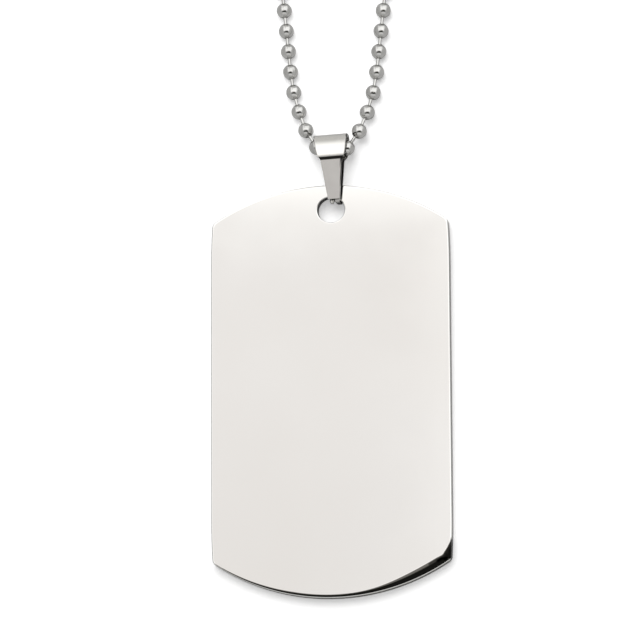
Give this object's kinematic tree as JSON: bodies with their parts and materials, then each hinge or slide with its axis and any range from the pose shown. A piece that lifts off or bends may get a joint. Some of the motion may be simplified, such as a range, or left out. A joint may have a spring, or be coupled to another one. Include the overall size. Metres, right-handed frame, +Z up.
{
  "type": "identification dog tag",
  "caption": "Blank metal identification tag with arched ends, hung by a folded tapered bail on a looped metal ball chain, lying flat",
  "frame": {"origin": "centre of the bounding box in X and Y, at the surface that the piece lies on", "axes": "+Y runs from the tag to the crown of the chain's loop, +Z is up, away from the surface; the tag's blank face looks up"},
  "size_m": [0.135, 0.293, 0.005],
  "materials": {
    "polished_steel": "mirror polished on both faces and round the edges",
    "bail_steel": "polished bent strip",
    "chain_steel": "polished hollow balls"
  },
  "bodies": {
    "root": {"tag": "polished_steel", "bail": "bail_steel", "chain": "chain_steel", "connector": "bail_steel"}
  },
  "joints": []
}
